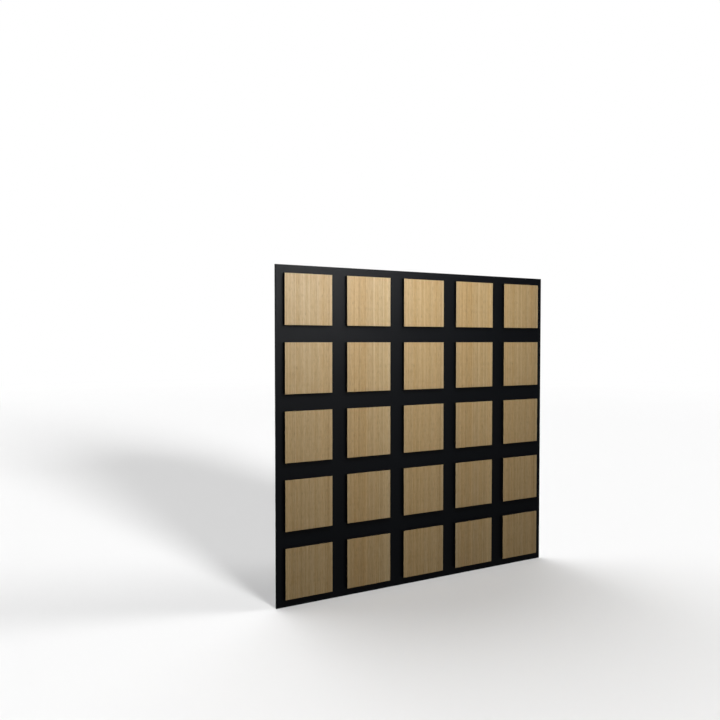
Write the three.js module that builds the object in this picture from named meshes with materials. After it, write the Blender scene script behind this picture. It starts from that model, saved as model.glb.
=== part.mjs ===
// Wall panel: a thin black board carries a grid of separate square tiles, and each tile is a black
// fibreboard core faced with oak veneer.
// Millimetres, +Z up. The front faces -Y, and the origin is the centre of the board's back face,
// where the board lies against the wall.
import * as THREE from 'three';

// Tile grid: the tiles are square, and the gap is the black board seen between two of them.
const rows = 5;
const columns = 5;
const tileWidth = 90;
const tileGap = 30;

// Thicknesses, counted out from the wall
const boardThickness = 3;
const coreThickness = 6.4;
const veneerThickness = 0.6;

// Front edges taken off at 45 degrees
const boardArris = 0.4;
const veneerArris = 0.2;

// Each tile has half a gap of board around it, so the grid runs on where two panels butt.
const tilePitch = tileWidth + tileGap;
const boardWidth = columns * tilePitch;
const boardHeight = rows * tilePitch;

function blackBoardMaterial() {
  return new THREE.MeshStandardMaterial({ color: 0x1b1c1f, roughness: 0.42, metalness: 0 });
}

function blackCoreMaterial() {
  return new THREE.MeshStandardMaterial({ color: 0x0c0a08, roughness: 0.85, metalness: 0 });
}

function oakVeneerMaterial() {
  return new THREE.MeshStandardMaterial({ color: 0xc4a273, roughness: 0.6, metalness: 0 });
}

// The corners of an upright rectangle about the Y axis, anticlockwise as seen from the front.
function rectangle(width, height, y) {
  const right = width / 2;
  const top = height / 2;
  return [[-right, y, -top], [right, y, -top], [right, y, top], [-right, y, top]];
}

// The four faces that join a rectangle to the one in front of it.
function band(rear, fore) {
  return rear.map((corner, index) => {
    const next = (index + 1) % rear.length;
    return [corner, rear[next], fore[next], fore[index]];
  });
}

// A solid from four-cornered faces, each anticlockwise as seen from outside.
function solidGeometry(faces) {
  const points = faces.flatMap(([a, b, c, d]) => [a, b, c, a, c, d]);
  const geometry = new THREE.BufferGeometry();
  geometry.setAttribute('position', new THREE.Float32BufferAttribute(points.flat(), 3));
  geometry.computeVertexNormals();
  return geometry;
}

// An upright plate whose back lies at y = 0 and whose front edges are taken off by an arris.
function plateGeometry(width, height, thickness, arris) {
  const back = rectangle(width, height, 0);
  const shoulder = rectangle(width, height, arris - thickness);
  const front = rectangle(width - 2 * arris, height - 2 * arris, -thickness);
  return solidGeometry([[...back].reverse(), ...band(back, shoulder), ...band(shoulder, front), front]);
}

// A square-edged upright block whose back lies at y = 0.
function blockGeometry(width, height, thickness) {
  return new THREE.BoxGeometry(width, thickness, height).translate(0, -thickness / 2, 0);
}

function namedMesh(name, geometry, material) {
  const mesh = new THREE.Mesh(geometry, material);
  mesh.name = name;
  return mesh;
}

function backingBoard(material) {
  const geometry = plateGeometry(boardWidth, boardHeight, boardThickness, boardArris);
  return namedMesh('backing_board', geometry, material);
}

function tileCore(place, material) {
  const geometry = blockGeometry(tileWidth, tileWidth, coreThickness);
  return namedMesh(`tile_core_${place}`, geometry, material);
}

function tileVeneer(place, material) {
  const geometry = plateGeometry(tileWidth, tileWidth, veneerThickness, veneerArris);
  const veneer = namedMesh(`tile_veneer_${place}`, geometry, material);
  veneer.position.y = -coreThickness;
  return veneer;
}

// A core and its veneer, on the front of the board. Rows count from the top, columns from the left.
function tile(row, column, coreMaterial, veneerMaterial) {
  const place = `r${row}_c${column}`;
  const group = new THREE.Group();
  group.add(tileCore(place, coreMaterial), tileVeneer(place, veneerMaterial));
  group.position.set(
    (column - 0.5) * tilePitch - boardWidth / 2,
    -boardThickness,
    boardHeight / 2 - (row - 0.5) * tilePitch,
  );
  return group;
}

function wallPanel() {
  const coreMaterial = blackCoreMaterial();
  const veneerMaterial = oakVeneerMaterial();
  const panel = new THREE.Group();
  panel.add(backingBoard(blackBoardMaterial()));
  for (let row = 1; row <= rows; row += 1) {
    for (let column = 1; column <= columns; column += 1) {
      panel.add(tile(row, column, coreMaterial, veneerMaterial));
    }
  }
  return panel;
}

export default wallPanel();
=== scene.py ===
"""Wall panel with square oak tiles: the finish of every surface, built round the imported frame.
Metres, +Z up. The front faces -Y and the origin is the centre of the board's back."""
import math

import bmesh
import bpy
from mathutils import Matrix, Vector


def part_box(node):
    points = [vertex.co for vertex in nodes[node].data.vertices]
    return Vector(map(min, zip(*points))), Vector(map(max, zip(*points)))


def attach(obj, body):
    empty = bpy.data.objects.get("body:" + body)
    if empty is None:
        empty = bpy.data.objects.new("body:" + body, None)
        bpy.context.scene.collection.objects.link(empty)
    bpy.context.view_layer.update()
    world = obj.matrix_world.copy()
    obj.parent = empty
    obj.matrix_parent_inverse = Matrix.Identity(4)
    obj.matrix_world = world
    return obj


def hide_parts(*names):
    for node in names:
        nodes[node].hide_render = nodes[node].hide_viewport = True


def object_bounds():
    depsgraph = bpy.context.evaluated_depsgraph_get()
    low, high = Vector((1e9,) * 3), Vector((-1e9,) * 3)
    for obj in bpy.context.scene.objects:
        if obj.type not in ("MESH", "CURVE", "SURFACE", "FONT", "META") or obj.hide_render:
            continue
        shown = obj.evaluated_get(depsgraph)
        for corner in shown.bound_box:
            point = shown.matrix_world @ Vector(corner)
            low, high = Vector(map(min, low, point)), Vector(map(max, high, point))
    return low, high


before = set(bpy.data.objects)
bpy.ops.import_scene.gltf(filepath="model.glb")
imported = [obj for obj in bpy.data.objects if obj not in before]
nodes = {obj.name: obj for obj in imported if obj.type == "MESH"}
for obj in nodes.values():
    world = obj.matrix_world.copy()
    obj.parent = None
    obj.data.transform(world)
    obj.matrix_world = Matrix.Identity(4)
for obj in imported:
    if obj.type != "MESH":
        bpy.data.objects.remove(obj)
cad_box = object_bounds()

# The photograph's view
FOCAL_PX = 659.6
PHOTO_SIDE_PX = 720
SENSOR_MM = 36.0
CAMERA_PLACE = (-0.6929, -1.0805, 0.1660)
CAMERA_TURN = math.radians(27.35)
CAMERA_DIP = math.radians(1.58)

# The veneer's front edges are sanded round rather than cut at 45 degrees.
VENEER_ARRIS = 0.00025
ARRIS_SEGMENTS = 3
ROUND_PROFILE = 0.5

# The leaves of veneer come from one log and lie side by side, so the figure comes again every second
# column. A leaf is two tiles and two gaps wide, and its joints fall in the gaps.
COLUMNS = 5
TILE_PITCH = (cad_box[1][0] - cad_box[0][0]) / COLUMNS
LEAF_LEFT = -TILE_PITCH / 2
LEAF_RIGHT = LEAF_LEFT + 2 * TILE_PITCH


def make_camera():
    data = bpy.data.cameras.new("camera")
    data.sensor_width = SENSOR_MM
    data.lens = FOCAL_PX / PHOTO_SIDE_PX * SENSOR_MM
    camera = bpy.data.objects.new("camera", data)
    camera.location = CAMERA_PLACE
    camera.rotation_euler = (math.pi / 2 - CAMERA_DIP, 0, -CAMERA_TURN)
    bpy.context.scene.collection.objects.link(camera)
    bpy.context.scene.camera = camera


# Node helpers

# A Mix node's colour sockets, by number, because its sockets for other data have the same names
MIX_FIRST = 6
MIX_SECOND = 7
MIX_RESULT = 2

# The value that a noise swings about
NOISE_MIDDLE = 0.5


class Shader:
    """A node material and short ways to add to it."""

    def __init__(self, name):
        self.material = bpy.data.materials.new(name)
        self.material.use_nodes = True
        self.tree = self.material.node_tree
        self.surface = self.tree.nodes["Principled BSDF"]

    def add(self, kind, **settings):
        node = self.tree.nodes.new(kind)
        for key, value in settings.items():
            setattr(node, key, value)
        return node

    def link(self, source, target):
        self.tree.links.new(source, target)

    def feed(self, socket, value):
        """Puts a number, a colour or another node's output into a socket."""
        if isinstance(value, bpy.types.NodeSocket):
            self.link(value, socket)
        else:
            socket.default_value = value

    def set(self, name, value):
        """Sets an input of the surface by its name."""
        self.feed(self.surface.inputs[name], value)

    def math(self, operation, a, b=0.0, c=0.0):
        node = self.add("ShaderNodeMath", operation=operation)
        for socket, value in zip(node.inputs, (a, b, c)):
            self.feed(socket, value)
        return node.outputs[0]

    def swung(self, value, noise, share):
        """The value moved up and down by a share of a noise."""
        return self.math("MULTIPLY_ADD", self.math("SUBTRACT", noise, NOISE_MIDDLE), share, value)

    def position(self):
        """Where the point is in the part's frame, in metres."""
        return self.add("ShaderNodeTexCoord").outputs["Object"]

    def scaled(self, place, features, offset=(0, 0, 0)):
        """The place to read a noise at, so that it has so many features a metre along X, Y and Z."""
        node = self.add("ShaderNodeMapping")
        self.link(place, node.inputs["Vector"])
        node.inputs["Scale"].default_value = features
        node.inputs["Location"].default_value = offset
        return node.outputs[0]

    def noise(self, place, detail=2.0, roughness=0.5, distortion=0.0):
        node = self.add("ShaderNodeTexNoise")
        self.link(place, node.inputs["Vector"])
        node.inputs["Scale"].default_value = 1.0
        node.inputs["Detail"].default_value = detail
        node.inputs["Roughness"].default_value = roughness
        node.inputs["Distortion"].default_value = distortion
        return node.outputs[0]

    def remap(self, value, low, high, to_low=0.0, to_high=1.0, smooth=False):
        node = self.add("ShaderNodeMapRange")
        if smooth:
            node.interpolation_type = "SMOOTHSTEP"
        self.link(value, node.inputs["Value"])
        for key, number in (("From Min", low), ("From Max", high), ("To Min", to_low), ("To Max", to_high)):
            node.inputs[key].default_value = number
        return node.outputs[0]

    def mix(self, factor, first, second):
        node = self.add("ShaderNodeMix", data_type="RGBA")
        self.feed(node.inputs["Factor"], factor)
        self.feed(node.inputs[MIX_FIRST], first)
        self.feed(node.inputs[MIX_SECOND], second)
        return node.outputs[MIX_RESULT]

    def tinted(self, colour, marks, strength, tint):
        """The colour with a tint laid over it where the marks are."""
        return self.mix(self.math("MULTIPLY", marks, strength), colour, tint)

    def bump(self, height, distance, normal=None):
        node = self.add("ShaderNodeBump")
        node.inputs["Distance"].default_value = distance
        node.inputs["Strength"].default_value = 1.0
        self.link(height, node.inputs["Height"])
        if normal is not None:
            self.link(normal, node.inputs["Normal"])
        return node.outputs[0]


def srgb(red, green, blue):
    """A colour as it is read off a screen, 0 to 255, turned into the shader's linear numbers."""
    def linear(level):
        level /= 255
        return level / 12.92 if level <= 0.04045 else ((level + 0.055) / 1.055) ** 2.4
    return (linear(red), linear(green), linear(blue), 1.0)


# Oak veneer

# Each streak lies between a dark and a pale colour, and these between a plain and a warm one.
OAK_DARK = srgb(185, 149, 95)
OAK_DARK_WARM = srgb(189, 146, 81)
OAK_PALE = srgb(218, 196, 151)
OAK_PALE_WARM = srgb(225, 194, 138)
OAK_SHINE = 0.85
OAK_DARK_ROUGH = 0.54
OAK_PALE_ROUGH = 0.48
OAK_RELIEF = 0.000015

# What is laid over the streaks, and how strongly
OAK_SEAM = srgb(164, 120, 60)
SEAM_STRENGTH = 0.30
OAK_THREAD = srgb(232, 208, 165)
THREAD_STRENGTH = 0.20
OAK_RAY = srgb(226, 202, 158)
RAY_STRENGTH = 0.25
OAK_PORE = srgb(128, 97, 58)
PORE_STRENGTH = 0.50
PORE_ROUGH = 0.12
PORE_DEPTH = 0.00006

# How far a line of grain strays to either side
GRAIN_STRAY = 0.0010
# From the start of a line's noise to the start of the noise that says in which patches it is strong
PATCH_SHIFT = 16


def within_leaf(shader, place):
    """The place carried sideways to the same spot of the one leaf that holds columns 3 and 4."""
    parts = shader.add("ShaderNodeSeparateXYZ")
    shader.link(place, parts.inputs[0])
    joined = shader.add("ShaderNodeCombineXYZ")
    shader.link(shader.math("WRAP", parts.outputs[0], LEAF_RIGHT, LEAF_LEFT), joined.inputs[0])
    shader.link(parts.outputs[1], joined.inputs[1])
    shader.link(parts.outputs[2], joined.inputs[2])
    return joined.outputs[0]


def grain_noise(shader, place, across, along, start=0.0, layer=0.0, detail=2.0, roughness=0.5):
    """A noise with so many features a metre across the grain and along it. The start and the layer say
    where in the noise it is read, so that no two are alike."""
    spot = shader.scaled(place, (across, 1, along), (start, 0, layer))
    return shader.noise(spot, detail=detail, roughness=roughness)


def strayed(shader, place, reach):
    """The place moved sideways by up to about the reach, slowly on the way up, as a line of grain strays."""
    stray = grain_noise(shader, place, across=2, along=2.5)
    sway = shader.add("ShaderNodeCombineXYZ")
    # The noise keeps within about a quarter of its middle, so four reaches of it are one to either side.
    shader.link(shader.math("MULTIPLY_ADD", stray, 4 * reach, -4 * reach * NOISE_MIDDLE), sway.inputs[0])
    moved = shader.add("ShaderNodeVectorMath", operation="ADD")
    shader.link(place, moved.inputs[0])
    shader.link(sway.outputs[0], moved.inputs[1])
    return moved.outputs[0]


def upright_lines(shader, grain, across, width, start, patches, faint, strong):
    """Thin upright lines where a noise passes its middle, clear in some patches and gone in others. Where
    the noise of the patches is at faint there is no line, and where it is at strong the line is full."""
    ridge = grain_noise(shader, grain, across, along=0.35, start=start, roughness=0.6)
    middle = shader.math("ABSOLUTE", shader.math("SUBTRACT", ridge, NOISE_MIDDLE))
    line = shader.remap(middle, 0.0, width, 1.0, 0.0, smooth=True)
    patch = grain_noise(shader, grain, patches, along=0.6, start=start + PATCH_SHIFT, layer=5, detail=1)
    return shader.math("MULTIPLY", line, shader.remap(patch, faint, strong))


def oak_veneer():
    """Straight-grained oak, its grain upright, so that a streak runs on from tile to tile down a column."""
    shader = Shader("oak_veneer")
    place = shader.position()
    grain = strayed(shader, within_leaf(shader, place), GRAIN_STRAY)

    # Growth rings cut lengthwise: streaks with finer ones in them, on broad darker and paler bands, and
    # broken up by short dashes
    growth = grain_noise(shader, grain, across=95, along=0.3, start=128.3, detail=5, roughness=0.85)
    fine = grain_noise(shader, grain, across=520, along=0.9, start=2154.62, layer=3, roughness=0.7)
    broad = grain_noise(shader, grain, across=11, along=0.15, start=49.5, layer=6, detail=1)
    dashes = grain_noise(shader, grain, across=560, along=42, start=23, roughness=0.6)
    band = shader.swung(growth, fine, share=1.1)
    band = shader.swung(band, broad, share=0.55)
    band = shader.swung(band, dashes, share=0.75)
    band = shader.remap(band, low=0.18, high=0.82)
    # Dark late-wood seams and finer pale threads
    seam = upright_lines(
        shader, grain, across=190, width=0.06, start=65.8, patches=75, faint=0.42, strong=0.62)
    thread = upright_lines(
        shader, grain, across=440, width=0.08, start=101.3, patches=110, faint=0.38, strong=0.58)
    # Open pores: dashes a few millimetres long and a fifth of a millimetre wide, thicker in the dark streaks
    pores = grain_noise(shader, grain, across=2300, along=95, start=7, detail=1.5)
    pore = shader.remap(shader.swung(pores, growth, share=-0.22), low=0.57, high=0.69, smooth=True)
    # Rays: short pale flecks
    rays = grain_noise(shader, grain, across=600, along=150, start=31, layer=9, detail=1)
    ray = shader.remap(rays, low=0.62, high=0.74, smooth=True)
    # Warmth: from streak to streak, and slowly across the panel
    warm = grain_noise(shader, grain, across=60, along=0.3, start=45.1, layer=4)
    slow = grain_noise(shader, place, across=7, along=0.4, start=20.3, layer=8, detail=1)
    warm = shader.remap(shader.swung(warm, slow, share=0.8), low=0.30, high=0.70)

    dark = shader.mix(warm, OAK_DARK, OAK_DARK_WARM)
    pale = shader.mix(warm, OAK_PALE, OAK_PALE_WARM)
    colour = shader.mix(band, dark, pale)
    colour = shader.tinted(colour, seam, SEAM_STRENGTH, OAK_SEAM)
    colour = shader.tinted(colour, thread, THREAD_STRENGTH, OAK_THREAD)
    colour = shader.tinted(colour, ray, RAY_STRENGTH, OAK_RAY)
    colour = shader.tinted(colour, pore, PORE_STRENGTH, OAK_PORE)
    shader.set("Base Color", colour)
    shader.set("Specular IOR Level", OAK_SHINE)
    rough = shader.remap(band, 0.0, 1.0, OAK_DARK_ROUGH, OAK_PALE_ROUGH)
    shader.set("Roughness", shader.math("MULTIPLY_ADD", pore, PORE_ROUGH, rough))
    relief = shader.bump(shader.math("SUBTRACT", band, seam), OAK_RELIEF)
    shader.set("Normal", shader.bump(pore, -PORE_DEPTH, normal=relief))
    return shader.material


# Black board

BOARD_DARK = (0.0013, 0.0022, 0.0043, 1)
BOARD_LIGHT = (0.0023, 0.0034, 0.0057, 1)
BOARD_FIBRE = (0.0066, 0.0077, 0.0100, 1)
BOARD_FIBRE_STRENGTH = 0.5
BOARD_FIBRE_HEIGHT = 0.4
BOARD_SHINE = 0.26
BOARD_ROUGH_LOW = 0.48
BOARD_ROUGH_HIGH = 0.52
BOARD_RELIEF = 0.00002


def black_board():
    """Thin hardboard with a smooth black finish, through which its matted fibres show faintly."""
    shader = Shader("black_board")
    place = shader.position()
    tooth = shader.noise(shader.scaled(place, (1900, 1900, 1900)))
    cloud = shader.noise(shader.scaled(place, (7, 7, 7)), detail=4, roughness=0.6)
    lying = shader.noise(shader.scaled(place, (260, 900, 2400), (5, 0, 2)), distortion=1.5)
    standing = shader.noise(shader.scaled(place, (2400, 900, 260), (8, 3, 1)), distortion=1.5)
    fibres = shader.remap(shader.math("MAXIMUM", lying, standing), low=0.60, high=0.74, smooth=True)
    colour = shader.mix(shader.remap(cloud, low=0.3, high=0.7), BOARD_DARK, BOARD_LIGHT)
    colour = shader.tinted(colour, fibres, BOARD_FIBRE_STRENGTH, BOARD_FIBRE)
    shader.set("Base Color", colour)
    shader.set("Specular IOR Level", BOARD_SHINE)
    shader.set("Roughness", shader.remap(cloud, 0.3, 0.7, BOARD_ROUGH_LOW, BOARD_ROUGH_HIGH))
    height = shader.math("MULTIPLY_ADD", fibres, BOARD_FIBRE_HEIGHT, tooth)
    shader.set("Normal", shader.bump(height, BOARD_RELIEF))
    return shader.material


# Black core

CORE_DARK = (0.0018, 0.0014, 0.0011, 1)
CORE_LIGHT = (0.0052, 0.0042, 0.0033, 1)
CORE_SHINE = 0.25
CORE_DARK_ROUGH = 0.95
CORE_LIGHT_ROUGH = 0.8
CORE_RELIEF = 0.00008


def black_core():
    """Black fibreboard sawn across, with its layers of fibre along the cut."""
    shader = Shader("black_core")
    place = shader.position()
    fibre = shader.noise(shader.scaled(place, (700, 2600, 700)), detail=3)
    layers = shader.noise(shader.scaled(place, (25, 1500, 25), (2, 0, 0)))
    mottle = shader.math("MULTIPLY_ADD", layers, 0.5, shader.math("MULTIPLY", fibre, 0.5))
    shader.set("Base Color", shader.mix(shader.remap(mottle, low=0.35, high=0.65), CORE_DARK, CORE_LIGHT))
    shader.set("Roughness", shader.remap(mottle, 0.35, 0.65, CORE_DARK_ROUGH, CORE_LIGHT_ROUGH))
    shader.set("Specular IOR Level", CORE_SHINE)
    shader.set("Normal", shader.bump(mottle, CORE_RELIEF))
    return shader.material


# Pieces

def assign(node, material):
    for slot in nodes[node].material_slots:
        slot.material = material


def make_oak_face(place, material):
    """The veneer of one tile with its front edges sanded round."""
    node = f"tile_veneer_{place}"
    low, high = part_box(node)
    shape = bmesh.new()
    bmesh.ops.create_cube(shape, size=1.0)
    for vertex in shape.verts:
        for axis in range(3):
            vertex.co[axis] = high[axis] if vertex.co[axis] > 0 else low[axis]
    front = [e for e in shape.edges if all(v.co.y < (low.y + high.y) / 2 for v in e.verts)]
    bmesh.ops.bevel(
        shape, geom=front, affect="EDGES",
        offset=VENEER_ARRIS, segments=ARRIS_SEGMENTS, profile=ROUND_PROFILE)
    for face in shape.faces:
        face.smooth = False
    mesh = bpy.data.meshes.new(f"oak_face_{place}")
    shape.to_mesh(mesh)
    shape.free()
    mesh.materials.append(material)
    piece = bpy.data.objects.new(f"oak_face_{place}", mesh)
    bpy.context.scene.collection.objects.link(piece)
    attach(piece, "root")
    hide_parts(node)


def dress_panel():
    assign("backing_board", black_board())
    core = black_core()
    oak = oak_veneer()
    for name in sorted(nodes):
        if name.startswith("tile_core_"):
            assign(name, core)
            make_oak_face(name.removeprefix("tile_core_"), oak)


# Stage: a pale floor that melts into a white backdrop

WHITE = (1, 1, 1, 1)
BLACK = (0, 0, 0, 1)
FLOOR_GREY = (0.85, 0.85, 0.85, 1)
FLOOR_LEVEL = cad_box[0][2]
FLOOR_SIDE = 60.0
FADE_START = 2.5
FADE_END = 7.0
BACKDROP_RADIUS = 40.0
BACKDROP_SEGMENTS = 48
BACKDROP_RINGS = 24
WORLD_STRENGTH = 0.03


def seen_by_camera_only(obj):
    obj.visible_diffuse = False
    obj.visible_glossy = False
    obj.visible_transmission = False
    obj.visible_shadow = False


def make_floor():
    """A square that takes the lamps' light near the panel and glows white far from it."""
    half = FLOOR_SIDE / 2
    mesh = bpy.data.meshes.new("floor")
    corners = [(x * half, y * half, FLOOR_LEVEL) for x, y in ((-1, -1), (1, -1), (1, 1), (-1, 1))]
    mesh.from_pydata(corners, [], [(0, 1, 2, 3)])
    shader = Shader("floor")
    distance = shader.add("ShaderNodeVectorMath", operation="LENGTH")
    shader.link(shader.position(), distance.inputs[0])
    far = shader.remap(distance.outputs["Value"], FADE_START, FADE_END, smooth=True)
    shader.set("Base Color", shader.mix(far, FLOOR_GREY, BLACK))
    shader.set("Emission Color", WHITE)
    shader.set("Emission Strength", far)
    shader.set("Roughness", 1.0)
    shader.set("Specular IOR Level", 0.0)
    mesh.materials.append(shader.material)
    floor = bpy.data.objects.new("floor", mesh)
    bpy.context.scene.collection.objects.link(floor)
    seen_by_camera_only(floor)
    return floor


def make_backdrop():
    """A ball of plain white light far round everything."""
    shape = bmesh.new()
    bmesh.ops.create_uvsphere(
        shape, u_segments=BACKDROP_SEGMENTS, v_segments=BACKDROP_RINGS, radius=BACKDROP_RADIUS)
    mesh = bpy.data.meshes.new("backdrop")
    shape.to_mesh(mesh)
    shape.free()
    material = bpy.data.materials.new("backdrop")
    material.use_nodes = True
    tree = material.node_tree
    tree.nodes.clear()
    glow = tree.nodes.new("ShaderNodeEmission")
    out = tree.nodes.new("ShaderNodeOutputMaterial")
    tree.links.new(glow.outputs[0], out.inputs["Surface"])
    mesh.materials.append(material)
    backdrop = bpy.data.objects.new("backdrop", mesh)
    bpy.context.scene.collection.objects.link(backdrop)
    seen_by_camera_only(backdrop)


def make_world():
    world = bpy.data.worlds.new("studio")
    bpy.context.scene.world = world
    world.use_nodes = True
    world.node_tree.nodes["Background"].inputs["Strength"].default_value = WORLD_STRENGTH
    world.node_tree.nodes["Background"].inputs["Color"].default_value = WHITE


# Lights: the panel and the floor each have their own.

def receivers(name, floor, state):
    """A group of lights' receivers: the floor alone (INCLUDE) or everything but the floor (EXCLUDE)."""
    group = bpy.data.collections.new(name)
    group.objects.link(floor)
    group.collection_objects[0].light_linking.link_state = state
    return group


def make_light(name, data, place, target, lit):
    light = bpy.data.objects.new(name, data)
    light.location = place
    light.rotation_euler = (Vector(target) - Vector(place)).to_track_quat("-Z", "Y").to_euler()
    light.visible_camera = False
    light.light_linking.receiver_collection = lit
    bpy.context.scene.collection.objects.link(light)


def make_lamp(name, lit, place, size, watts, target=(0, 0, 0)):
    """A soft lamp of a width and a height, turned towards its target."""
    data = bpy.data.lights.new(name, "AREA")
    data.shape = "RECTANGLE"
    data.size, data.size_y = size
    data.energy = watts
    make_light(name, data, place, target, lit)


def make_far_lamp(name, lit, azimuth, elevation, width, strength):
    """A far soft lamp. Azimuth 0 stands before the panel and 90 to its right; angles are in degrees."""
    turn, rise = math.radians(azimuth), math.radians(elevation)
    data = bpy.data.lights.new(name, "SUN")
    data.angle = math.radians(width)
    data.energy = strength
    place = (math.sin(turn) * math.cos(rise), -math.cos(turn) * math.cos(rise), math.sin(rise))
    make_light(name, data, place, (0, 0, 0), lit)


def make_lights(floor):
    panel = receivers("lit_panel", floor, "EXCLUDE")
    ground = receivers("lit_floor", floor, "INCLUDE")
    upper_left = (-0.08, 0, 0.12)
    make_lamp(
        "strip_high", panel, place=(-0.08, -0.42, 0.52), size=(0.6, 0.06), watts=2.08, target=upper_left)
    make_lamp(
        "strip_low", panel, place=(-0.08, -0.52, 0.33), size=(0.35, 0.06), watts=0.86, target=upper_left)
    make_lamp("front", panel, place=(1.026, -2.819, 0), size=(0.8, 0.8), watts=2.1)
    make_lamp("right_edge", panel, place=(2.5, 0.4, 0.5), size=(0.8, 0.8), watts=30, target=(0.3, 0.1, 0))
    make_lamp("rear", panel, place=(0.6, 2.0, 1.0), size=(1.0, 1.0), watts=60)
    make_far_lamp("fill", panel, azimuth=0, elevation=10, width=150, strength=0.18)
    make_far_lamp("floor_front", ground, azimuth=10, elevation=13, width=17, strength=5.00)
    make_far_lamp("floor_right", ground, azimuth=72, elevation=22, width=20, strength=1.65)
    make_far_lamp("floor_rear_left", ground, azimuth=210, elevation=45, width=57, strength=1.53)
    make_far_lamp("floor_rear_right", ground, azimuth=155, elevation=45, width=57, strength=0.92)


make_camera()
dress_panel()
stage_floor = make_floor()
make_backdrop()
make_world()
make_lights(stage_floor)
bpy.context.scene.view_settings.view_transform = "Standard"
